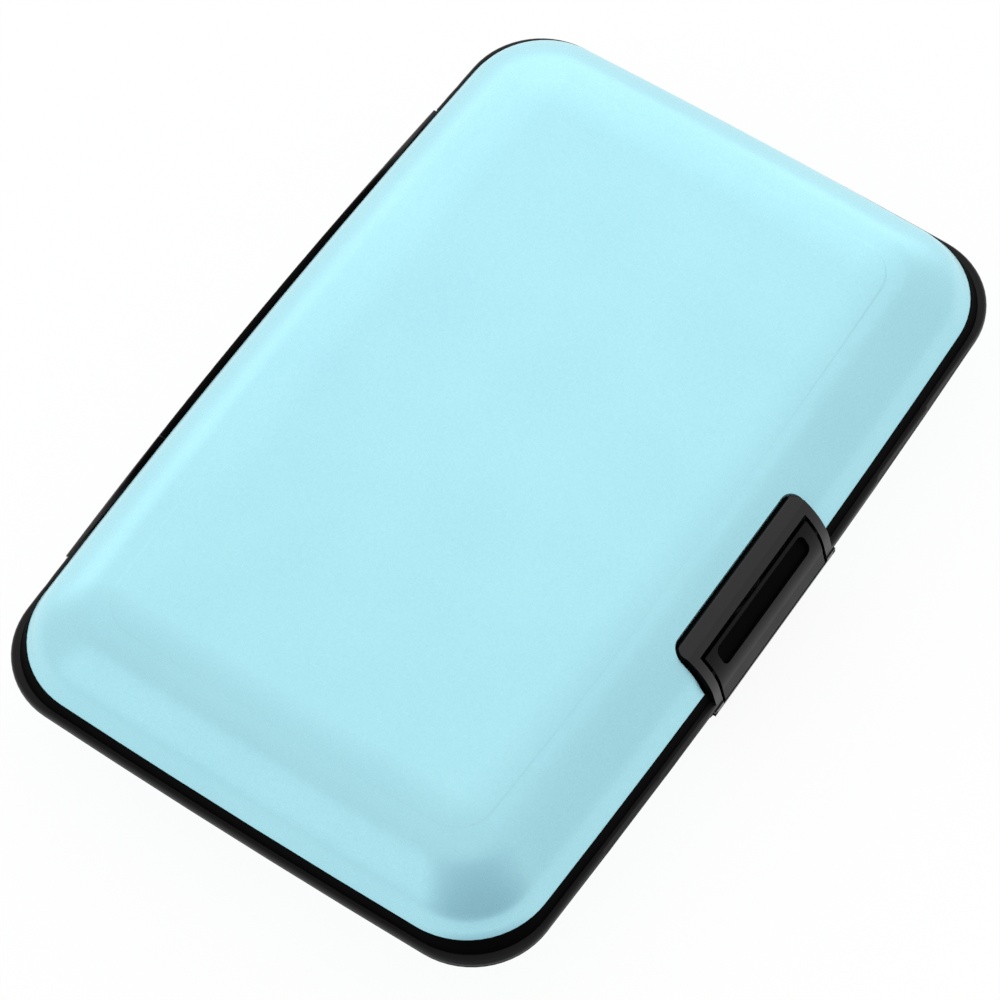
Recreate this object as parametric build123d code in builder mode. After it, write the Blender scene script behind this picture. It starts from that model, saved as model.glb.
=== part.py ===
# Metal card holder: two pressed aluminium shells on moulded frames, hinged along one long side
# and latched on the other, with a folded file of six card pockets inside.
# Millimetres. X runs along the case, +Y to the hinge, +Z up. The origin is the middle of the
# base shell's outer face, which the case rests on.
import os
from build123d import *

os.makedirs("parts", exist_ok=True)

# Pressed shells
shell_length = 107.0
shell_width = 70.4
long_side_bow = 1.1
short_side_bow = 0.5
shell_corner = 10.4
crown_corner = 4.5
crown_inset = 9.0
crown_rise = 6.8
sheet = 0.6

# The shell's wall from its edge to its crown, as shares of the crown's inset and rise
wall_inset_shares = [0, 0.07, 0.17, 0.31, 0.56, 0.78, 1]
wall_rise_shares = [0, 0.17, 0.41, 0.60, 0.84, 0.96, 1]

# Moulded frames, with the belt that shows below each shell's edge
half_belt = 2.4
parting_gap = 0.2
belt_reach = 1.4
belt_corner = 10.0
brim_height = 0.6
brim_round = 0.45
belt_foot_reach = 0.62
belt_top_reach = 0.1
frame_wall = 1.0
flange_thickness = 1.0
flange_reach = 4.5
tape = 0.2

# Locating lip on the base frame, which a rebate in the lid frame drops over
lip_inset = 0.4
lip_height = 0.5
lip_clearance = 0.15
lip_hinge_gap = 7.2
lip_latch_gap = 13.5

# Latch ears: places out from the shell's edge, less than zero inside it, and heights above the parting
ear_half_length = 12.1
ear_cheek = 1.2
ear_corner = 1.4
ear_inner = -4.45
ear_ridge_height = 7.6
ear_shoulder = -2.6
ear_shoulder_height = 7.45
ear_slope = -0.3
ear_slope_height = 5.1
ear_outer = 1.0
ear_outer_height = 1.8
ear_foot = 1.35
ear_ridge_round = 0.35
ear_shoulder_round = 0.8
notch_gap = 0.4
notch_corner = 1.8
rim_gap = 0.05
rim_drop = 0.35

# Rocker lever in the lid's ear
lever_end_gap = 0.45
lever_inner = -1.5
lever_inner_gap = 0.3
lever_top_height = 6.5
lever_slope = 0.15
lever_slope_height = 4.35
lever_knee = 1.05
lever_knee_height = 1.4
lever_toe = 1.45
lever_toe_drop = 0.6
lever_toe_round = 0.4
lever_top_round = 0.12
lever_bottom_height = 1.6
lever_skirt = 0.9
lever_skirt_draft = 0.2
lever_corner = 0.5
groove_length = 17.8
groove_width = 2.7
groove_corner = 0.9
groove_depth = 0.5
groove_place = -0.32
groove_height = 4.95
groove_tilt = 50

# Hook under the lever and its catch in the base's ear
hook_half_length = 7.0
hook_inner = -0.9
hook_thickness = 0.7
barb_reach = 0.55
barb_top_drop = 1.35
barb_nose = 0.25
hook_drop = 2.2
catch_play = 0.28
catch_seat_gap = 0.15
catch_undercut_gap = 0.45
catch_swing_gap = 0.6
catch_floor_gap = 0.4
catch_end_gap = 0.5
toe_gap = 0.3
boss_half_length = 12.6
boss_reach = 1.5
boss_top_drop = 0.35
boss_bottom_drop = 1.25

# Latch pin and spring
latch_pin_radius = 0.4
latch_pin_place = -0.6
latch_pin_height = 3.2
latch_pin_cap = 0.4
press_clearance = 0.02
running_clearance = 0.05
spring_half_length = 3.9
spring_leaf = 0.2
spring_bow = 1.4
spring_height = 1.6
spring_seat_height = 4.6
spring_gap = 0.3
spring_pocket_gap = 0.1

# Hinge
hinge_place = 0.9
hinge_radius = 1.08
hinge_end_radius = 0.3
hinge_end_gap = 16.5
lid_knuckle_half_length = 18.4
knuckle_gap = 0.2
knuckle_clearance = 0.3
hinge_pin_radius = 0.3
hinge_cap = 12.5

# Card file
pocket_count = 6
leaf_pitch = 2.5
leaf = 0.4
leaf_end_gap = 6.5
leaf_side_gap = 6.6
leaf_corner = 6.0
foam_end_margin = 12.0
foam_side_margin = 8.6
foam_corner = 3.0
gusset_depth = 3.4
spine_depth = 2.4
film = 0.25
film_gap = 0.1

# Every cut runs this far past the solid that it cuts
overrun = 5.0

# Places that follow from the sizes above
parting_height = half_belt + crown_rise
clear_height = parting_height + overrun
clear_width = shell_width / 2 + belt_reach + overrun
clear_reach = belt_reach + overrun
flange_depth = sheet + tape + flange_thickness
parting_plane = Plane.XY.offset(parting_height)
across_latch = Plane(origin=(0, -shell_width / 2, parting_height), x_dir=(0, -1, 0), z_dir=(-1, 0, 0))
across_hinge = Plane(origin=(0, shell_width / 2, parting_height), x_dir=(0, 1, 0), z_dir=(1, 0, 0))
lever_half_length = ear_half_length - ear_cheek - lever_end_gap
latch_pin_half_length = ear_half_length - latch_pin_cap
hinge_y = shell_width / 2 + hinge_place
hinge_half_length = shell_length / 2 - hinge_end_gap
hinge_pin_half_length = hinge_half_length - hinge_cap
leaf_length = shell_length - 2 * leaf_end_gap
leaf_width = shell_width - 2 * leaf_side_gap
along_case = Plane(origin=(0, 0, parting_height), x_dir=(1, 0, 0), z_dir=(0, -1, 0))
across_case = Plane(origin=(0, 0, parting_height), x_dir=(0, 1, 0), z_dir=(1, 0, 0))


def outline(height, grow, corner):
    """The case's bowed outline, grown by a margin, at a height above the parting."""
    half_length = shell_length / 2 + grow
    half_width = shell_width / 2 + grow
    end_x = half_length - short_side_bow
    end_y = half_width - long_side_bow
    with BuildSketch(Plane.XY.offset(parting_height + height)) as sketch:
        with BuildLine():
            ThreePointArc((-end_x, end_y), (0, half_width), (end_x, end_y))
            ThreePointArc((end_x, end_y), (half_length, 0), (end_x, -end_y))
            ThreePointArc((end_x, -end_y), (0, -half_width), (-end_x, -end_y))
            ThreePointArc((-end_x, -end_y), (-half_length, 0), (-end_x, end_y))
        make_face()
        fillet(sketch.vertices(), corner)
    return sketch.sketch


def slab(bottom, top, grow):
    """An upright slab of the outline, grown by a margin, between two heights."""
    with BuildPart() as solid:
        add(outline(bottom, grow, shell_corner + min(grow, 0)))
        extrude(amount=top - bottom)
    return solid.part


def dome(depth):
    """The solid under the lid's outer surface, set in by a depth all round."""
    with BuildPart() as solid:
        for inset_share, rise_share in zip(wall_inset_shares, wall_rise_shares):
            inset = depth + inset_share * (crown_inset - depth)
            height = half_belt + rise_share * (crown_rise - depth)
            corner = (1 - inset_share) * (shell_corner - depth) + inset_share * crown_corner
            add(outline(height, -inset, corner))
        loft()
    return solid.part


def block(half_length, inner, outer, bottom, top):
    """A block across the latch side, between two places out from the shell's edge and two heights."""
    with BuildPart() as solid:
        with BuildSketch(across_latch):
            with BuildLine():
                Polyline((inner, bottom), (outer, bottom), (outer, top), (inner, top), close=True)
            make_face()
        extrude(amount=half_length, both=True)
    return solid.part


def rod(plane, radius, half_length, place, height):
    """A round rod along the case, or the bore that it makes."""
    with BuildPart() as solid:
        with BuildSketch(plane):
            with Locations((place, height)):
                Circle(radius)
        extrude(amount=half_length, both=True)
    return solid.part


def knuckle(start, end, margin):
    """A length of the hinge's barrel, turned about the hinge axis and grown by a margin."""
    stations = [start, (start + end) / 2, end]
    taper = hinge_radius - hinge_end_radius
    rim = [(x, hinge_radius - taper * (x / hinge_half_length) ** 2 + margin) for x in stations]
    with BuildPart() as turned:
        with BuildSketch(Plane(origin=(0, hinge_y, parting_height))):
            with BuildLine():
                ThreePointArc(rim[0], rim[1], rim[2])
                Polyline(rim[2], (end, 0), (start, 0), rim[0])
            make_face()
        revolve(axis=Axis((0, hinge_y, parting_height), (1, 0, 0)))
    return turned.part


def outer_knuckles(start, end, margin):
    """The same length of barrel at both ends of the hinge."""
    return [knuckle(start, end, margin), knuckle(-end, -start, margin)]


def lip_ring(outer_inset, height, hinge_gap, latch_gap):
    """A ring inside the frames' wall that stops short of the hinge and of the latch."""
    with BuildPart() as ring:
        add(slab(-parting_gap / 2, height, -outer_inset))
        add(slab(-parting_gap / 2, height, -frame_wall), mode=Mode.SUBTRACT)
        hinge_stop = shell_width / 2 - hinge_gap
        with BuildSketch(parting_plane):
            with Locations((0, (hinge_stop + clear_width) / 2)):
                Rectangle(shell_length, clear_width - hinge_stop)
            with Locations((0, -clear_width / 2)):
                Rectangle(2 * latch_gap, clear_width)
        extrude(amount=half_belt, both=True, mode=Mode.SUBTRACT)
    return ring.part


def save(piece, name):
    """Label a finished piece and write it to a file of its own."""
    piece.part.label = name
    export_step(piece.part, f"parts/{name}.step")


outer_surface = dome(0)
inner_surface = dome(sheet)
flange_surface = dome(sheet + tape)
flange_underside = dome(flange_depth)
flange_opening = slab(0, clear_height, -flange_reach)


def ear_block(margin, corner):
    """An upright block with the latch ear's outline, grown by a margin."""
    start = shell_width / 2 + ear_inner - margin
    with BuildPart() as solid:
        with BuildSketch(parting_plane):
            with Locations((0, -(start + clear_width) / 2)):
                RectangleRounded(2 * (ear_half_length + margin), clear_width - start, corner)
        extrude(amount=clear_height)
    return solid.part


# Cut-out in each shell for its latch ear, and the sunk rim that fills it round the ear
notch = ear_block(notch_gap, notch_corner)
with BuildPart() as ear_rim:
    add(dome(rim_drop))
    add(ear_block(notch_gap - rim_gap, notch_corner - rim_gap), mode=Mode.INTERSECT)

# Shells: pressed sheets, the same above and below
with BuildPart() as lid_shell:
    add(outer_surface)
    add(inner_surface, mode=Mode.SUBTRACT)
    add(notch, mode=Mode.SUBTRACT)
with BuildPart() as base_shell:
    mirror(lid_shell.part, about=parting_plane)

# Adhesive rings between the shells and the frames' flanges
with BuildPart() as lid_tape:
    add(inner_surface)
    add(flange_surface, mode=Mode.SUBTRACT)
    add(flange_opening, mode=Mode.SUBTRACT)
    add(notch, mode=Mode.SUBTRACT)
with BuildPart() as base_tape:
    mirror(lid_tape.part, about=parting_plane)

# Latch ear: it fills the shell's cut-out and stands a little proud of the wall
with BuildPart() as ear:
    with BuildSketch(across_latch) as ear_section:
        with BuildLine():
            Polyline((ear_foot, parting_gap / 2), (ear_inner, parting_gap / 2),
                     (ear_inner, ear_ridge_height), (ear_shoulder, ear_shoulder_height))
            ThreePointArc((ear_shoulder, ear_shoulder_height), (ear_slope, ear_slope_height),
                          (ear_outer, ear_outer_height))
            Line((ear_outer, ear_outer_height), (ear_foot, parting_gap / 2))
        make_face()
        ridge, shoulder = ear_section.vertices().sort_by(Axis.Y, reverse=True)[:2]
        fillet(ridge, ear_ridge_round)
        fillet(shoulder, ear_shoulder_round)
    extrude(amount=ear_half_length, both=True)
    add(ear_block(0, ear_corner), mode=Mode.INTERSECT)

# Belt: a rounded brim at the parting, and a steep wall from it up to the shell's edge
with BuildPart() as belt:
    add(outline(parting_gap / 2, belt_reach, belt_corner))
    extrude(amount=brim_height - parting_gap / 2)
    fillet(belt.faces().sort_by(Axis.Z)[-1].edges(), brim_round)
    add(outline(brim_height, belt_foot_reach, belt_corner))
    add(outline(half_belt, belt_top_reach, shell_corner + belt_top_reach))
    loft(ruled=True)

# What both frames share: belt, flange under the shell and latch ear
with BuildPart() as frame:
    add(belt.part)
    add(flange_surface)
    add(slab(0, half_belt - flange_thickness, -frame_wall), mode=Mode.SUBTRACT)
    add(slab(0, half_belt, -flange_depth), mode=Mode.SUBTRACT)
    add(flange_underside, mode=Mode.SUBTRACT)
    add(flange_opening, mode=Mode.SUBTRACT)
    add(ear_rim.part)
    add(ear.part)

# Lid frame: middle knuckle, rebate, and the lever's recess with its pin and spring seats
recess_wall = lever_inner - lever_inner_gap
recess_half_length = lever_half_length + lever_end_gap
spring_crest = lever_inner - spring_gap
spring_foot = spring_crest - spring_leaf - spring_bow
with BuildPart() as lid_frame:
    add(frame.part)
    add(knuckle(-lid_knuckle_half_length, lid_knuckle_half_length, 0))
    add(outer_knuckles(lid_knuckle_half_length, hinge_half_length + knuckle_clearance, knuckle_clearance),
        mode=Mode.SUBTRACT)
    add(rod(across_hinge, hinge_pin_radius + running_clearance, hinge_half_length, hinge_place, 0),
        mode=Mode.SUBTRACT)
    add(lip_ring(lip_inset - lip_clearance, parting_gap / 2 + lip_height + lip_clearance,
                 lip_hinge_gap - lip_clearance, lip_latch_gap - lip_clearance), mode=Mode.SUBTRACT)
    add(block(recess_half_length, recess_wall, clear_reach, -overrun, clear_height), mode=Mode.SUBTRACT)
    add(block(spring_half_length + spring_pocket_gap, spring_foot - spring_pocket_gap, clear_reach,
              spring_seat_height, spring_seat_height + spring_height + spring_pocket_gap), mode=Mode.SUBTRACT)
    add(rod(across_latch, latch_pin_radius + press_clearance, latch_pin_half_length + press_clearance,
            latch_pin_place, latch_pin_height), mode=Mode.SUBTRACT)

# Base frame: outer knuckles, locating lip, catch for the hook, and the ledge below the lever
catch_face = hook_inner - catch_play
catch_back = hook_inner + hook_thickness + catch_swing_gap
catch_half_length = hook_half_length + catch_end_gap
catch_floor = -hook_drop - catch_floor_gap
base_knuckle_start = lid_knuckle_half_length + knuckle_gap
with BuildPart() as base_frame:
    mirror(frame.part, about=parting_plane)
    add(block(boss_half_length, 0, boss_reach, -boss_bottom_drop, -boss_top_drop))
    add(outer_knuckles(base_knuckle_start, hinge_half_length, 0))
    add(knuckle(-base_knuckle_start, base_knuckle_start, knuckle_clearance), mode=Mode.SUBTRACT)
    add(rod(across_hinge, hinge_pin_radius + press_clearance, hinge_pin_half_length + press_clearance,
            hinge_place, 0), mode=Mode.SUBTRACT)
    add(lip_ring(lip_inset, lip_height, lip_hinge_gap, lip_latch_gap))
    add(block(catch_half_length, catch_face, catch_back, catch_floor, overrun), mode=Mode.SUBTRACT)
    add(block(catch_half_length, hook_inner - barb_reach - catch_undercut_gap, hook_inner, catch_floor,
              catch_seat_gap - barb_top_drop), mode=Mode.SUBTRACT)
    add(block(recess_half_length, lever_toe - lever_skirt - toe_gap, clear_reach, -lever_toe_drop - toe_gap,
              overrun), mode=Mode.SUBTRACT)

# Rocker lever: rounded face with a thumb groove, skirt, hook and pin bore
skirt_inner = lever_toe - lever_skirt
barb_inner = hook_inner - barb_reach
barb_bottom = -barb_top_drop - barb_nose
groove_y = -shell_width / 2 - groove_place
groove_plane = Plane(origin=(0, groove_y, parting_height + groove_height), x_dir=(1, 0, 0),
                     z_dir=Vector(0, 0, 1).rotate(Axis.X, groove_tilt))
with BuildPart() as latch_lever:
    with BuildSketch(across_latch) as lever_section:
        with BuildLine():
            Line((lever_inner, lever_bottom_height), (lever_inner, lever_top_height))
            ThreePointArc((lever_inner, lever_top_height), (lever_slope, lever_slope_height),
                          (lever_knee, lever_knee_height))
            Polyline((lever_knee, lever_knee_height), (lever_toe, -lever_toe_drop),
                     (skirt_inner, -lever_toe_drop), (skirt_inner - lever_skirt_draft, lever_bottom_height),
                     (lever_inner, lever_bottom_height))
        make_face()
        lever_top = lever_section.vertices().sort_by(Axis.Y)[-1]
        toe = lever_section.vertices().group_by(Axis.Y)[0].sort_by(Axis.X)[-1]
        fillet(lever_top, lever_top_round)
        fillet(toe, lever_toe_round)
    extrude(amount=lever_half_length, both=True)
    with BuildSketch(groove_plane.offset(-groove_depth)):
        RectangleRounded(groove_length, groove_width, groove_corner)
    extrude(amount=groove_depth + overrun, mode=Mode.SUBTRACT)
    with BuildSketch(across_latch):
        with BuildLine():
            Polyline((hook_inner, latch_pin_height), (hook_inner + hook_thickness, latch_pin_height),
                     (hook_inner + hook_thickness, -hook_drop), (hook_inner, -hook_drop),
                     (barb_inner, barb_bottom), (barb_inner, -barb_top_drop), (hook_inner, -barb_top_drop),
                     close=True)
        make_face()
    extrude(amount=hook_half_length, both=True)
    add(rod(across_latch, latch_pin_radius + running_clearance, lever_half_length, latch_pin_place,
            latch_pin_height), mode=Mode.SUBTRACT)

# Pins that the lever rocks on and that the frames turn on
with BuildPart() as latch_pin:
    add(rod(across_latch, latch_pin_radius, latch_pin_half_length, latch_pin_place, latch_pin_height))
with BuildPart() as hinge_pin:
    add(rod(across_hinge, hinge_pin_radius, hinge_pin_half_length, hinge_place, 0))

# Bowed steel leaf in the lid's ear that pushes the top of the lever out
with BuildPart() as latch_spring:
    foot_y = -shell_width / 2 - spring_foot
    crest_y = -shell_width / 2 - spring_crest
    with BuildSketch(parting_plane.offset(spring_seat_height)):
        with BuildLine():
            Line((-spring_half_length, foot_y), (-spring_half_length, foot_y - spring_leaf))
            ThreePointArc((-spring_half_length, foot_y - spring_leaf), (0, crest_y),
                          (spring_half_length, foot_y - spring_leaf))
            Line((spring_half_length, foot_y - spring_leaf), (spring_half_length, foot_y))
            ThreePointArc((spring_half_length, foot_y), (0, crest_y + spring_leaf),
                          (-spring_half_length, foot_y))
        make_face()
    extrude(amount=spring_height)

for piece, name in [(lid_shell, "lid_shell"), (base_shell, "base_shell"), (lid_tape, "lid_tape"),
                    (base_tape, "base_tape"), (lid_frame, "lid_frame"), (base_frame, "base_frame"),
                    (latch_lever, "latch_lever"), (latch_pin, "latch_pin"), (hinge_pin, "hinge_pin"),
                    (latch_spring, "latch_spring")]:
    save(piece, name)

# Card file: stiff leaves one pitch apart, the outer two being the end panels
leaf_names = ["base_panel"] + [f"divider_{k}" for k in range(1, pocket_count)] + ["lid_panel"]
lowest_leaf = -pocket_count / 2 * leaf_pitch
for index, name in enumerate(leaf_names):
    with BuildPart() as panel:
        with BuildSketch(parting_plane.offset(lowest_leaf + index * leaf_pitch - leaf / 2)):
            RectangleRounded(leaf_length, leaf_width, leaf_corner)
        extrude(amount=leaf)
    save(panel, name)

# Foam pads that stick the end panels to the crowns
foam_start = -lowest_leaf + leaf / 2
with BuildPart() as lid_foam_tape:
    with BuildSketch(parting_plane.offset(foam_start)):
        RectangleRounded(leaf_length - 2 * foam_end_margin, leaf_width - 2 * foam_side_margin, foam_corner)
    extrude(amount=parting_height - sheet - foam_start)
with BuildPart() as base_foam_tape:
    mirror(lid_foam_tape.part, about=parting_plane)
save(lid_foam_tape, "lid_foam_tape")
save(base_foam_tape, "base_foam_tape")


def pleat(plane, edge, tip, bottom, half_length):
    """A folded film that stands on a leaf, from its edge in to the fold's tip and out again."""
    top = bottom + leaf_pitch - leaf - film_gap
    middle = (bottom + top) / 2
    inward = film if tip < edge else -film
    with BuildPart() as folded:
        with BuildSketch(plane):
            with BuildLine():
                Polyline((edge, bottom), (tip, middle), (edge, top), (edge, top - film),
                         (tip + inward, middle), (edge, bottom + film), close=True)
            make_face()
        extrude(amount=half_length, both=True)
    return folded


# Pleated films that close each pocket at both ends and at the back
gusset_edge = leaf_length / 2
gusset_half_length = leaf_width / 2 - leaf_corner
spine_edge = leaf_width / 2
spine_half_length = leaf_length / 2 - leaf_corner
for index in range(pocket_count):
    leaf_top = lowest_leaf + index * leaf_pitch + leaf / 2
    number = index + 1
    save(pleat(along_case, -gusset_edge, gusset_depth - gusset_edge, leaf_top, gusset_half_length),
         f"gusset_left_{number}")
    save(pleat(along_case, gusset_edge, gusset_edge - gusset_depth, leaf_top, gusset_half_length),
         f"gusset_right_{number}")
    save(pleat(across_case, spine_edge, spine_edge - spine_depth, leaf_top, spine_half_length),
         f"spine_{number}")
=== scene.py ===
import bpy
import numpy as np
from mathutils import Matrix, Vector


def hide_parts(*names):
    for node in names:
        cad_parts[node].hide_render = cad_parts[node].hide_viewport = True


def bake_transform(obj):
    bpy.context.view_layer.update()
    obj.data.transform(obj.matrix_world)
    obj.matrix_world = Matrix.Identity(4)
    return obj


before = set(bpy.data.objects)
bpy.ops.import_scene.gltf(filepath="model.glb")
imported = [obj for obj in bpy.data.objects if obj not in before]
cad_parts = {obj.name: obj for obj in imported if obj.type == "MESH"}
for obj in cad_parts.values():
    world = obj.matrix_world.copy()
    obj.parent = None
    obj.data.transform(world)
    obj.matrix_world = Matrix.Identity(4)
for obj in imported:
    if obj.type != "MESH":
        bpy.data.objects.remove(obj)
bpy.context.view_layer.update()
mm = 0.001

# Camera. The case lies on its back and is seen from above one of its latch corners, as a product
# is on a table: a long lens, about 0.46 m away and 61 degrees above the table.
image_size = 1000
focal_pixels = 3979
sensor_mm = 36
camera_place = Vector((-180.7, -138.95, 410.1)) * mm
camera_right = Vector((0.5646, -0.8247, -0.0338))
camera_down = Vector((-0.7297, -0.4796, -0.4874))
camera_ahead = Vector((0.3857, 0.2998, -0.8725))
camera_data = bpy.data.cameras.new("camera")
camera_data.sensor_width = sensor_mm
camera_data.lens = focal_pixels / image_size * sensor_mm
camera_data.clip_start = 0.01
camera = bpy.data.objects.new("camera", camera_data)
camera.matrix_world = Matrix.Translation(camera_place) @ Matrix((
    camera_right, -camera_down, -camera_ahead)).transposed().to_4x4()
bpy.context.scene.collection.objects.link(camera)
bpy.context.scene.camera = camera

# Shells. Each is a sheet of aluminium pressed to a shallow tray and sprayed pale blue with a
# satin lacquer. It is cut out for the latch ear, and a tape holds it on the moulded frame.
noise_low = 0.3
noise_high = 0.7
shell_hex = "#BCF4FC"
lacquer_shade_hex = "#A3DEEC"
lacquer_grain = 0.24 * mm
lacquer_cloud = 14 * mm
lacquer_relief = 0.008 * mm
lacquer_relief_strength = 0.5
lacquer_cloud_share = 0.3
lacquer_metallic = 0.62
lacquer_roughness_low = 0.27
lacquer_roughness_high = 0.33
crown_half_length = 53.5 * mm
crown_half_width = 35.2 * mm
contour_corner = 13.5 * mm
long_side_bow = 1.1 * mm
short_side_bow = 0.5 * mm
easing_start = 9.0 * mm
easing_end = 13.4 * mm
easing_rise = 0.29 * mm


def linear(hex_colour):
    """The linear colour of an sRGB hex value."""
    channels = np.array([int(hex_colour[i:i + 2], 16) for i in (1, 3, 5)]) / 255
    low = channels / 12.92
    high = ((channels + 0.055) / 1.055) ** 2.4
    return (*np.where(channels <= 0.04045, low, high), 1.0)


def add_node(tree, kind, settings=None, inputs=None):
    """Adds one node to a tree, with its settings, and its inputs as values or as links from sockets."""
    made = tree.nodes.new(kind)
    for name, value in (settings or {}).items():
        setattr(made, name, value)
    for name, value in (inputs or {}).items():
        if isinstance(value, bpy.types.NodeSocket):
            tree.links.new(value, made.inputs[name])
        else:
            made.inputs[name].default_value = value
    return made


def new_material(name):
    """An empty material: the material, its tree, its surface socket and its Object coordinates."""
    material = bpy.data.materials.new(name)
    material.use_nodes = True
    tree = material.node_tree
    tree.nodes.clear()
    output = add_node(tree, "ShaderNodeOutputMaterial")
    place = add_node(tree, "ShaderNodeTexCoord").outputs["Object"]
    return material, tree, output.inputs["Surface"], place


def dress(piece, material):
    """Gives a piece one material all over."""
    piece.data.materials.clear()
    piece.data.materials.append(material)
    return piece


# Sprayed satin lacquer over metal: even colour with a faint cloud, a soft sheen and a fine grain, drawn
# coarser than the real one so that it shows. Where the slope meets the crown the drawn sheet eases over:
# its height falls with the square of what is left of the way in from the edge, and that way is the
# rounded box's distance, with the bows of the sides added.
satin_lacquer, tree, surface, place = new_material("satin_lacquer_on_aluminium")
axes = add_node(tree, "ShaderNodeSeparateXYZ", inputs={"Vector": place})
along = add_node(tree, "ShaderNodeMath", {"operation": "ABSOLUTE"}, {0: axes.outputs["X"]})
aside = add_node(tree, "ShaderNodeMath", {"operation": "ABSOLUTE"}, {0: axes.outputs["Y"]})
along_square = add_node(tree, "ShaderNodeMath", {"operation": "POWER"}, {0: along.outputs[0], 1: 2.0})
aside_square = add_node(tree, "ShaderNodeMath", {"operation": "POWER"}, {0: aside.outputs[0], 1: 2.0})
past_end = add_node(tree, "ShaderNodeMath", {"operation": "MULTIPLY_ADD"}, {
    0: aside_square.outputs[0], 1: short_side_bow / crown_half_width ** 2, 2: along.outputs[0]})
past_side = add_node(tree, "ShaderNodeMath", {"operation": "MULTIPLY_ADD"}, {
    0: along_square.outputs[0], 1: long_side_bow / crown_half_length ** 2, 2: aside.outputs[0]})
from_end = add_node(tree, "ShaderNodeMath", {"operation": "SUBTRACT"},
                    {0: past_end.outputs[0], 1: crown_half_length - contour_corner})
from_side = add_node(tree, "ShaderNodeMath", {"operation": "SUBTRACT"},
                     {0: past_side.outputs[0], 1: crown_half_width - contour_corner})
end_out = add_node(tree, "ShaderNodeMath", {"operation": "MAXIMUM"}, {0: from_end.outputs[0], 1: 0.0})
side_out = add_node(tree, "ShaderNodeMath", {"operation": "MAXIMUM"}, {0: from_side.outputs[0], 1: 0.0})
corner = add_node(tree, "ShaderNodeCombineXYZ", inputs={"X": end_out.outputs[0], "Y": side_out.outputs[0]})
reach = add_node(tree, "ShaderNodeVectorMath", {"operation": "LENGTH"}, {0: corner.outputs["Vector"]})
larger = add_node(tree, "ShaderNodeMath", {"operation": "MAXIMUM"},
                  {0: from_end.outputs[0], 1: from_side.outputs[0]})
inside = add_node(tree, "ShaderNodeMath", {"operation": "MINIMUM"}, {0: larger.outputs[0], 1: 0.0})
distance = add_node(tree, "ShaderNodeMath", {"operation": "ADD"},
                    {0: reach.outputs["Value"], 1: inside.outputs[0]})
inset = add_node(tree, "ShaderNodeMath", {"operation": "SUBTRACT"},
                 {0: contour_corner, 1: distance.outputs[0]})
to_go = add_node(tree, "ShaderNodeMapRange", inputs={
    "Value": inset.outputs[0], "From Min": easing_start, "From Max": easing_end,
    "To Min": 1.0, "To Max": 0.0})
eased = add_node(tree, "ShaderNodeMath", {"operation": "POWER"}, {0: to_go.outputs["Result"], 1: 2.0})
cloud = add_node(tree, "ShaderNodeTexNoise", inputs={
    "Vector": place, "Scale": 1 / lacquer_cloud, "Detail": 2.0})
grain = add_node(tree, "ShaderNodeTexNoise", inputs={
    "Vector": place, "Scale": 1 / lacquer_grain, "Detail": 3.0})
blotch = add_node(tree, "ShaderNodeMix", inputs={
    "Factor": lacquer_cloud_share, "A": grain.outputs["Fac"], "B": cloud.outputs["Fac"]})
tint = add_node(tree, "ShaderNodeMix", {"data_type": "RGBA"},
                {"Factor": blotch.outputs["Result"], "A": linear(shell_hex), "B": linear(lacquer_shade_hex)})
gloss = add_node(tree, "ShaderNodeMapRange", inputs={
    "Value": grain.outputs["Fac"], "From Min": noise_low, "From Max": noise_high,
    "To Min": lacquer_roughness_low, "To Max": lacquer_roughness_high})
easing = add_node(tree, "ShaderNodeBump", {"invert": True}, {
    "Height": eased.outputs[0], "Strength": 1.0, "Distance": easing_rise})
relief = add_node(tree, "ShaderNodeBump", inputs={
    "Height": grain.outputs["Fac"], "Strength": lacquer_relief_strength, "Distance": lacquer_relief,
    "Normal": easing.outputs["Normal"]})
shader = add_node(tree, "ShaderNodeBsdfPrincipled", inputs={
    "Base Color": tint.outputs["Result"], "Metallic": lacquer_metallic, "Roughness": gloss.outputs["Result"],
    "Normal": relief.outputs["Normal"]})
tree.links.new(shader.outputs[0], surface)
for name in ("lid_shell", "base_shell"):
    dress(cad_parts[name], satin_lacquer)

# Frames. Each is one black ABS moulding: the brim and belt at the parting, the flange that the shell
# is taped to, the hinge's knuckles and the latch ear. The recesses are drawn matt and painted darker, as
# shade.
parting_height = 9.2 * mm
brim_height = 0.6 * mm
ear_half_length = 12.1 * mm
ear_inner_y = -30.75 * mm
abs_hex = "#070707"
# The darker black is painted shade, laid into the frames' recesses and the lever's groove
abs_painted_shade_hex = "#020202"
abs_grain = 0.16 * mm
abs_flow = 6 * mm
abs_relief = 0.004 * mm
abs_relief_strength = 0.35
abs_roughness_low = 0.27
abs_roughness_high = 0.36
abs_recess_roughness = 0.75
abs_specular = 0.45
abs_recess_specular = 0.04
edge_radius = 0.06 * mm

# Moulded ABS: black, semi-gloss, edges just broken. In the recesses, which are all that lies off the ear
# and over or under the brim, it is matt and painted a darker black there, as shade. Its orange peel is drawn
# a little coarse so that it shows.
moulded_abs, tree, surface, place = new_material("moulded_black_abs")
axes = add_node(tree, "ShaderNodeSeparateXYZ", inputs={"Vector": place})
above = add_node(tree, "ShaderNodeMath", {"operation": "SUBTRACT"}, {0: axes.outputs["Z"], 1: parting_height})
height = add_node(tree, "ShaderNodeMath", {"operation": "ABSOLUTE"}, {0: above.outputs[0]})
aside = add_node(tree, "ShaderNodeMath", {"operation": "ABSOLUTE"}, {0: axes.outputs["X"]})
within = add_node(tree, "ShaderNodeMath", {"operation": "LESS_THAN"},
                  {0: aside.outputs[0], 1: ear_half_length})
outward = add_node(tree, "ShaderNodeMath", {"operation": "LESS_THAN"}, {0: axes.outputs["Y"], 1: ear_inner_y})
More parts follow.
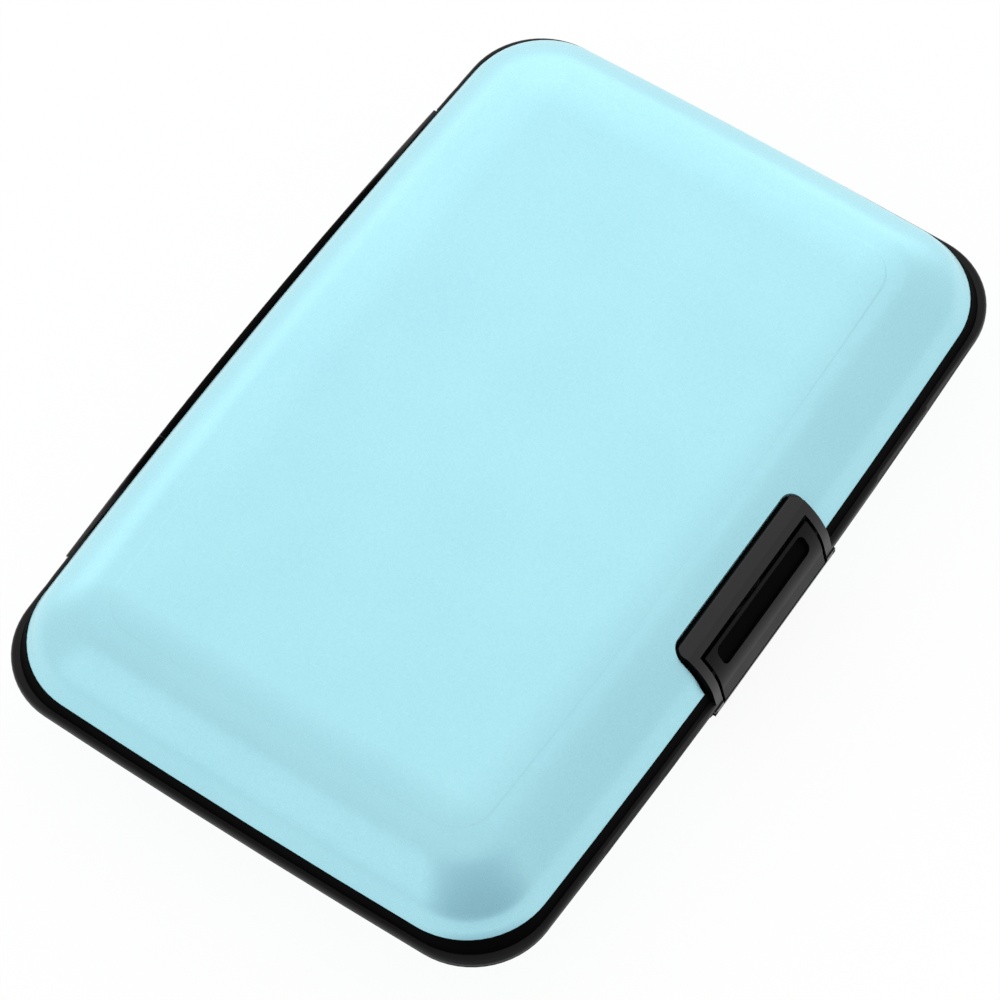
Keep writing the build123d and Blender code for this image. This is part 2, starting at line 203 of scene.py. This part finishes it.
on_ear = add_node(tree, "ShaderNodeMath", {"operation": "MULTIPLY"},
                  {0: within.outputs[0], 1: outward.outputs[0]})
off_ear = add_node(tree, "ShaderNodeMath", {"operation": "SUBTRACT"}, {0: 1.0, 1: on_ear.outputs[0]})
over_brim = add_node(tree, "ShaderNodeMapRange", {"interpolation_type": "SMOOTHSTEP"}, {
    "Value": height.outputs[0], "From Min": brim_height - abs_grain, "From Max": brim_height + abs_grain})
recess_shade = add_node(tree, "ShaderNodeMath", {"operation": "MULTIPLY"},
                  {0: off_ear.outputs[0], 1: over_brim.outputs["Result"]})
peel = add_node(tree, "ShaderNodeTexNoise", inputs={"Vector": place, "Scale": 1 / abs_grain, "Detail": 2.0})
flow = add_node(tree, "ShaderNodeTexNoise", inputs={"Vector": place, "Scale": 1 / abs_flow, "Detail": 3.0})
# In the recesses the colour is painted darker, as shade
colour = add_node(tree, "ShaderNodeMix", {"data_type": "RGBA"},
                  {"Factor": recess_shade.outputs[0], "A": linear(abs_hex), "B": linear(abs_painted_shade_hex)})
gloss = add_node(tree, "ShaderNodeMapRange", inputs={
    "Value": flow.outputs["Fac"], "From Min": noise_low, "From Max": noise_high,
    "To Min": abs_roughness_low, "To Max": abs_roughness_high})
roughness = add_node(tree, "ShaderNodeMix", inputs={
    "Factor": recess_shade.outputs[0], "A": gloss.outputs["Result"], "B": abs_recess_roughness})
shine = add_node(tree, "ShaderNodeMapRange", inputs={
    "Value": recess_shade.outputs[0], "To Min": abs_specular, "To Max": abs_recess_specular})
broken_edge = add_node(tree, "ShaderNodeBevel", {"samples": 4}, {"Radius": edge_radius})
relief = add_node(tree, "ShaderNodeBump", inputs={
    "Height": peel.outputs["Fac"], "Strength": abs_relief_strength, "Distance": abs_relief,
    "Normal": broken_edge.outputs["Normal"]})
shader = add_node(tree, "ShaderNodeBsdfPrincipled", inputs={
    "Base Color": colour.outputs["Result"], "Roughness": roughness.outputs["Result"],
    "Specular IOR Level": shine.outputs["Result"], "Normal": relief.outputs["Normal"]})
tree.links.new(shader.outputs[0], surface)
for name in ("lid_frame", "base_frame"):
    dress(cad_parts[name], moulded_abs)

# Latch lever. A black ABS rocker on a steel pin, moulded with a long thumb groove in its rounded
# face. The groove's floor keeps the tool's matt spark finish and is painted darker, as shade; the face round
# it is semi-gloss.
groove_centre = Vector((0, -34.88, 14.15)) * mm
groove_out = Vector((0, -0.766, 0.643))
groove_half_length = 8.9 * mm
groove_half_width = 1.35 * mm
groove_depth = 0.5 * mm
spark_grain = 0.12 * mm
lever_roughness_low = 0.32
lever_roughness_high = 0.4
groove_roughness = 0.6
lever_specular = 0.14
groove_specular = 0.03
lever_relief_strength = 0.3
groove_relief_strength = 0.9

# ABS from the same press, with the groove's floor dull, and painted darker than the face as shade
lever_abs, tree, surface, place = new_material("moulded_black_abs_lever")
from_centre = add_node(tree, "ShaderNodeVectorMath", {"operation": "SUBTRACT"}, {0: place, 1: groove_centre})
depth = add_node(tree, "ShaderNodeVectorMath", {"operation": "DOT_PRODUCT"},
                 {0: from_centre.outputs["Vector"], 1: groove_out})
across = add_node(tree, "ShaderNodeVectorMath", {"operation": "DOT_PRODUCT"},
                  {0: from_centre.outputs["Vector"], 1: groove_out.cross(Vector((1, 0, 0)))})
axes = add_node(tree, "ShaderNodeSeparateXYZ", inputs={"Vector": place})
aside = add_node(tree, "ShaderNodeMath", {"operation": "ABSOLUTE"}, {0: axes.outputs["X"]})
off_line = add_node(tree, "ShaderNodeMath", {"operation": "ABSOLUTE"}, {0: across.outputs["Value"]})
within = add_node(tree, "ShaderNodeMath", {"operation": "LESS_THAN"},
                  {0: aside.outputs[0], 1: groove_half_length})
beside = add_node(tree, "ShaderNodeMath", {"operation": "LESS_THAN"},
                  {0: off_line.outputs[0], 1: groove_half_width})
sunk = add_node(tree, "ShaderNodeMath", {"operation": "LESS_THAN"},
                {0: depth.outputs["Value"], 1: spark_grain - groove_depth})
in_outline = add_node(tree, "ShaderNodeMath", {"operation": "MULTIPLY"},
                      {0: within.outputs[0], 1: beside.outputs[0]})
groove_shade_and_finish = add_node(tree, "ShaderNodeMath", {"operation": "MULTIPLY"},
                     {0: in_outline.outputs[0], 1: sunk.outputs[0]})
peel = add_node(tree, "ShaderNodeTexNoise", inputs={"Vector": place, "Scale": 1 / spark_grain, "Detail": 3.0})
flow = add_node(tree, "ShaderNodeTexNoise", inputs={"Vector": place, "Scale": 1 / abs_flow, "Detail": 3.0})
# On the groove's floor the colour is painted darker, as shade
colour = add_node(tree, "ShaderNodeMix", {"data_type": "RGBA"},
                  {"Factor": groove_shade_and_finish.outputs[0], "A": linear(abs_hex), "B": linear(abs_painted_shade_hex)})
gloss = add_node(tree, "ShaderNodeMapRange", inputs={
    "Value": flow.outputs["Fac"], "From Min": noise_low, "From Max": noise_high,
    "To Min": lever_roughness_low, "To Max": lever_roughness_high})
roughness = add_node(tree, "ShaderNodeMix", inputs={
    "Factor": groove_shade_and_finish.outputs[0], "A": gloss.outputs["Result"], "B": groove_roughness})
shine = add_node(tree, "ShaderNodeMapRange", inputs={
    "Value": groove_shade_and_finish.outputs[0], "To Min": lever_specular, "To Max": groove_specular})
depth_of_grain = add_node(tree, "ShaderNodeMapRange", inputs={
    "Value": groove_shade_and_finish.outputs[0], "To Min": lever_relief_strength, "To Max": groove_relief_strength})
broken_edge = add_node(tree, "ShaderNodeBevel", {"samples": 4}, {"Radius": edge_radius})
relief = add_node(tree, "ShaderNodeBump", inputs={
    "Height": peel.outputs["Fac"], "Strength": depth_of_grain.outputs["Result"], "Distance": abs_relief,
    "Normal": broken_edge.outputs["Normal"]})
shader = add_node(tree, "ShaderNodeBsdfPrincipled", inputs={
    "Base Color": colour.outputs["Result"], "Roughness": roughness.outputs["Result"],
    "Specular IOR Level": shine.outputs["Result"], "Normal": relief.outputs["Normal"]})
tree.links.new(shader.outputs[0], surface)
dress(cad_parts["latch_lever"], lever_abs)

# Pins and spring. The hinge pin and the latch pin are cut from bright drawn steel wire, and the
# spring behind the lever is a bowed leaf of the same steel, seated in a pocket of the ear.
steel_hex = "#B9BABB"
steel_shade_hex = "#8E9092"
draw_line = 0.05 * mm
draw_stretch = 0.02
steel_roughness_low = 0.18
steel_roughness_high = 0.4

# Drawn steel: bright metal with faint lines along the wire
drawn_steel, tree, surface, place = new_material("bright_drawn_steel")
along = add_node(tree, "ShaderNodeMapping", inputs={"Vector": place, "Scale": (draw_stretch, 1, 1)})
lines = add_node(tree, "ShaderNodeTexNoise", inputs={
    "Vector": along.outputs["Vector"], "Scale": 1 / draw_line, "Detail": 2.0})
colour = add_node(tree, "ShaderNodeMix", {"data_type": "RGBA"},
                  {"Factor": lines.outputs["Fac"], "A": linear(steel_hex), "B": linear(steel_shade_hex)})
gloss = add_node(tree, "ShaderNodeMapRange", inputs={
    "Value": lines.outputs["Fac"], "To Min": steel_roughness_low, "To Max": steel_roughness_high})
shader = add_node(tree, "ShaderNodeBsdfPrincipled", inputs={
    "Base Color": colour.outputs["Result"], "Metallic": 1.0, "Roughness": gloss.outputs["Result"]})
tree.links.new(shader.outputs[0], surface)
for name in ("hinge_pin", "latch_pin", "latch_spring"):
    dress(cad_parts[name], drawn_steel)

# Tapes. A thin double-sided tape holds each shell on its frame's flange, and a pad of white foam
# tape holds the card file's outer panel on the shell's crown.
tape_hex = "#C9C7BD"
tape_shade_hex = "#B5B2A6"
tape_mottle = 1.2 * mm
foam_hex = "#E4E2DA"
foam_shade_hex = "#BFBCB2"
foam_cell = 0.35 * mm
foam_relief = 0.07 * mm

# Acrylic tape: milky film, mottled where it has wetted the sheet
acrylic_tape, tree, surface, place = new_material("acrylic_tape")
mottle = add_node(tree, "ShaderNodeTexNoise", inputs={
    "Vector": place, "Scale": 1 / tape_mottle, "Detail": 4.0})
colour = add_node(tree, "ShaderNodeMix", {"data_type": "RGBA"},
                  {"Factor": mottle.outputs["Fac"], "A": linear(tape_hex), "B": linear(tape_shade_hex)})
shader = add_node(tree, "ShaderNodeBsdfPrincipled", inputs={
    "Base Color": colour.outputs["Result"], "Roughness": 0.4})
tree.links.new(shader.outputs[0], surface)
for name in ("base_tape", "lid_tape"):
    dress(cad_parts[name], acrylic_tape)

# Closed-cell polyethylene foam: white, dull, with fine cells, painted darker as shade where they sink
foam, tree, surface, place = new_material("closed_cell_foam")
cells = add_node(tree, "ShaderNodeTexVoronoi", inputs={"Vector": place, "Scale": 1 / foam_cell})
# The colour darkens with the same distance that sinks the cells' edges: painted shade
colour = add_node(tree, "ShaderNodeMix", {"data_type": "RGBA"},
                  {"Factor": cells.outputs["Distance"], "A": linear(foam_hex), "B": linear(foam_shade_hex)})
relief = add_node(tree, "ShaderNodeBump", {"invert": True}, {
    "Height": cells.outputs["Distance"], "Strength": 0.6, "Distance": foam_relief})
shader = add_node(tree, "ShaderNodeBsdfPrincipled", inputs={
    "Base Color": colour.outputs["Result"], "Roughness": 0.85, "Normal": relief.outputs["Normal"]})
tree.links.new(shader.outputs[0], surface)
for name in ("base_foam_tape", "lid_foam_tape"):
    dress(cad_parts[name], foam)

# Card file, leaves. Seven sheets of black polypropylene, die-cut with rounded corners, stand one
# pitch apart between the shells. The outer two are stuck to the crowns by the foam pads.
leaf_hex = "#141416"
leaf_shade_hex = "#0C0C0E"
sheet_grain = 0.25 * mm
sheet_relief = 0.012 * mm
pocket_count = 6

# Extruded polypropylene sheet: black, matt, with a fine rolled grain
rolled_sheet, tree, surface, place = new_material("black_polypropylene_sheet")
grain = add_node(tree, "ShaderNodeTexNoise", inputs={
    "Vector": place, "Scale": 1 / sheet_grain, "Detail": 3.0})
colour = add_node(tree, "ShaderNodeMix", {"data_type": "RGBA"},
                  {"Factor": grain.outputs["Fac"], "A": linear(leaf_hex), "B": linear(leaf_shade_hex)})
relief = add_node(tree, "ShaderNodeBump", inputs={
    "Height": grain.outputs["Fac"], "Strength": 0.6, "Distance": sheet_relief})
shader = add_node(tree, "ShaderNodeBsdfPrincipled", inputs={
    "Base Color": colour.outputs["Result"], "Roughness": 0.48, "Normal": relief.outputs["Normal"]})
tree.links.new(shader.outputs[0], surface)
for name in ["base_panel", "lid_panel"] + [f"divider_{number}" for number in range(1, pocket_count)]:
    dress(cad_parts[name], rolled_sheet)

# Card file, pleats. Thin polypropylene film folded once joins each leaf to the next at both ends
# and at the back, and opens as a fan with the lid. The crease is pressed, so it is paler there.
leaf_pitch = 2.5 * mm
leaf = 0.4 * mm
leaf_half_length = 47.0 * mm
leaf_half_width = 28.6 * mm
leaf_corner = 6.0 * mm
gusset_depth = 3.4 * mm
spine_depth = 2.4 * mm
film = 0.18 * mm
film_gap = 0.05 * mm
crease_round = 0.12
pleat_points = 25
pleat_stations = 9
film_hex = "#17171A"
crease_hex = "#3A3A3F"
crease_width = 0.5 * mm

# Polypropylene film: as the sheet, but glossier, and whitened a little along the crease
folded_film, tree, surface, place = new_material("black_polypropylene_film")
axes = add_node(tree, "ShaderNodeSeparateXYZ", inputs={"Vector": place})
aside = add_node(tree, "ShaderNodeMath", {"operation": "ABSOLUTE"}, {0: axes.outputs["X"]})
end_fold = add_node(tree, "ShaderNodeMath", {"operation": "SUBTRACT"},
                    {0: aside.outputs[0], 1: leaf_half_length - gusset_depth})
end_near = add_node(tree, "ShaderNodeMath", {"operation": "ABSOLUTE"}, {0: end_fold.outputs[0]})
back_fold = add_node(tree, "ShaderNodeMath", {"operation": "SUBTRACT"},
                     {0: axes.outputs["Y"], 1: leaf_half_width - spine_depth})
back_near = add_node(tree, "ShaderNodeMath", {"operation": "ABSOLUTE"}, {0: back_fold.outputs[0]})
near_fold = add_node(tree, "ShaderNodeMath", {"operation": "MINIMUM"},
                     {0: end_near.outputs[0], 1: back_near.outputs[0]})
crease = add_node(tree, "ShaderNodeMapRange", inputs={
    "Value": near_fold.outputs[0], "From Max": crease_width, "To Min": 1.0, "To Max": 0.0})
grain = add_node(tree, "ShaderNodeTexNoise", inputs={
    "Vector": place, "Scale": 1 / sheet_grain, "Detail": 3.0})
broken = add_node(tree, "ShaderNodeMath", {"operation": "MULTIPLY"},
                  {0: crease.outputs["Result"], 1: grain.outputs["Fac"]})
colour = add_node(tree, "ShaderNodeMix", {"data_type": "RGBA"},
                  {"Factor": broken.outputs[0], "A": linear(film_hex), "B": linear(crease_hex)})
relief = add_node(tree, "ShaderNodeBump", inputs={
    "Height": grain.outputs["Fac"], "Strength": 0.4, "Distance": sheet_relief})
shader = add_node(tree, "ShaderNodeBsdfPrincipled", inputs={
    "Base Color": colour.outputs["Result"], "Roughness": 0.38, "Normal": relief.outputs["Normal"]})
tree.links.new(shader.outputs[0], surface)


def pleat(name, edge, depth, half_length, bottom, top, along_y):
    """A folded film between two leaves: a ring of points carried along a straight path.

    Over its height share s from 0 to 1, the film's middle lies at edge - depth * (1 - soft(2s - 1)), where
    soft(u) is the square root of u squared plus a small square, scaled to be 0 in the middle and 1 at both
    ends. The ring runs up one side of that line and down the other, half a film's thickness off it, and edge
    and depth take the sign of their side.
    """
    share = np.linspace(0, 1, pleat_points)
    soft = np.sqrt((2 * share - 1) ** 2 + crease_round ** 2)
    soft = (soft - crease_round) / (np.sqrt(1 + crease_round ** 2) - crease_round)
    middle = edge - depth * (1 - soft)
    height = bottom + share * (top - bottom)
    slope = np.gradient(middle, height)
    stretch = np.sqrt(1 + slope ** 2)
    normal = np.stack([1 / stretch, -slope / stretch], axis=1) * film / 2
    centre = np.stack([middle, height], axis=1)
    centre[:, 1] = np.clip(centre[:, 1], bottom + film / 2, top - film / 2)
    ring = np.concatenate([centre + normal, (centre - normal)[::-1]])
    ring[:, 1] = np.clip(ring[:, 1], bottom, top)
    stations = np.linspace(-half_length, half_length, pleat_stations)
    out = np.repeat(ring[:, 0][None], len(stations), 0)
    up = np.repeat(ring[:, 1][None], len(stations), 0)
    along = np.repeat(stations[:, None], len(ring), 1)
    grid = np.stack([out, along, up] if along_y else [along, out, up], axis=-1)
    count = len(ring)
    row, column = np.meshgrid(np.arange(len(stations) - 1), np.arange(count), indexing="ij")
    after = (column + 1) % count
    quads = np.stack([row * count + column, row * count + after, (row + 1) * count + after,
                      (row + 1) * count + column], axis=-1).reshape(-1, 4)
    side = np.arange(len(share) - 1)
    caps = np.stack([side, side + 1, count - 2 - side, count - 1 - side], axis=-1)
    last = caps + (len(stations) - 1) * count
    mesh = bpy.data.meshes.new(name)
    mesh.from_pydata(grid.reshape(-1, 3).tolist(), [], np.concatenate([quads, caps[:, ::-1], last]).tolist())
    mesh.validate()
    mesh.polygons.foreach_set("use_smooth", [True] * len(mesh.polygons))
    piece = bpy.data.objects.new(name, mesh)
    bpy.context.scene.collection.objects.link(piece)
    return piece


for pocket in range(pocket_count):
    middle = parting_height + (pocket - pocket_count / 2) * leaf_pitch
    bottom = middle + leaf / 2 + film_gap
    top = middle + leaf_pitch - leaf / 2 - film_gap
    for name, edge, depth, half_length, along_y in [
            ("gusset_left", -leaf_half_length, -gusset_depth, leaf_half_width - leaf_corner, True),
            ("gusset_right", leaf_half_length, gusset_depth, leaf_half_width - leaf_corner, True),
            ("spine", leaf_half_width, spine_depth, leaf_half_length - leaf_corner, False)]:
        node = f"{name}_{pocket + 1}"
        piece = pleat(f"{node}_film", edge, depth, half_length, bottom, top, along_y)
        dress(piece, folded_film)
        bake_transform(piece)
        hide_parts(node)

# Studio. A plain white table in a white tent: brighter low down beyond the case and to its left, a
# little dark and blue where the camera stands, and one broad softbox over the far end. Each part of the
# tent has the way to its middle, the cosines at which it begins and is full, and what it adds there.
floor_half = 3.0
floor_hex = "#F7F7F7"
floor_glow = 1.02
floor_glow_share = 0.9
tent_level = 0.865
beyond = (Vector((0.79, 0.614, 0)), 0.5, 0.9, 0.5)
left_panel = (Vector((-0.8, 0.35, 0.48)).normalized(), 0.88, 0.98, 0.24)
camera_side = (Vector((-0.66, -0.66, 0.36)).normalized(), 0.5, 0.98, 0.3)
camera_side_hex = "#2090C8"
softbox_way = Vector((0.5, 0.33, 0.8)).normalized()
softbox_distance = 0.5
softbox_width = 0.4
softbox_watts = 0.085
floor_mesh = bpy.data.meshes.new("floor")
floor_mesh.from_pydata([(-floor_half, -floor_half, 0), (floor_half, -floor_half, 0),
                        (floor_half, floor_half, 0), (-floor_half, floor_half, 0)], [], [(0, 1, 2, 3)])
floor = bpy.data.objects.new("floor", floor_mesh)
bpy.context.scene.collection.objects.link(floor)
white_table, tree, surface, place = new_material("white_table")
paint = add_node(tree, "ShaderNodeBsdfDiffuse", inputs={"Color": linear(floor_hex)})
glow = add_node(tree, "ShaderNodeEmission", inputs={"Color": (1, 1, 1, 1), "Strength": floor_glow})
path = add_node(tree, "ShaderNodeLightPath")
seen = add_node(tree, "ShaderNodeMath", {"operation": "MAXIMUM"},
                {0: path.outputs["Is Camera Ray"], 1: path.outputs["Is Glossy Ray"]})
shown = add_node(tree, "ShaderNodeMath", {"operation": "MAXIMUM"},
                 {0: seen.outputs[0], 1: path.outputs["Is Transmission Ray"]})
white = add_node(tree, "ShaderNodeMath", {"operation": "MULTIPLY"},
                 {0: shown.outputs[0], 1: floor_glow_share})
mixed = add_node(tree, "ShaderNodeMixShader", inputs={
    0: white.outputs[0], 1: paint.outputs[0], 2: glow.outputs[0]})
tree.links.new(mixed.outputs[0], surface)
dress(floor, white_table)

world = bpy.data.worlds.new("studio")
bpy.context.scene.world = world
world.use_nodes = True
tree = world.node_tree
direction = add_node(tree, "ShaderNodeTexCoord").outputs["Generated"]
amounts = []
for way, begins, full, amount in (beyond, left_panel, camera_side):
    facing = add_node(tree, "ShaderNodeVectorMath", {"operation": "DOT_PRODUCT"}, {0: direction, 1: way})
    part = add_node(tree, "ShaderNodeMapRange", {"interpolation_type": "SMOOTHSTEP"}, {
        "Value": facing.outputs["Value"], "From Min": begins, "From Max": full, "To Max": amount})
    amounts.append(part.outputs["Result"])
beyond_light, panel_light, shade = amounts
tent = add_node(tree, "ShaderNodeMath", {"operation": "ADD"}, {0: beyond_light, 1: tent_level})
panelled = add_node(tree, "ShaderNodeMath", {"operation": "ADD"}, {0: tent.outputs[0], 1: panel_light})
strength = add_node(tree, "ShaderNodeMath", {"operation": "SUBTRACT"}, {0: panelled.outputs[0], 1: shade})
tint = add_node(tree, "ShaderNodeMix", {"data_type": "RGBA"},
                {"Factor": shade, "A": (1, 1, 1, 1), "B": linear(camera_side_hex)})
background = tree.nodes["Background"]
tree.links.new(tint.outputs["Result"], background.inputs["Color"])
tree.links.new(strength.outputs[0], background.inputs["Strength"])

softbox_data = bpy.data.lights.new("softbox", "AREA")
softbox_data.shape = "DISK"
softbox_data.size = softbox_width
softbox_data.energy = softbox_watts
softbox = bpy.data.objects.new("softbox", softbox_data)
softbox.location = softbox_way * softbox_distance
softbox.rotation_euler = softbox_way.to_track_quat("Z", "Y").to_euler()
bpy.context.scene.collection.objects.link(softbox)

bpy.context.scene.view_settings.view_transform = "Standard"
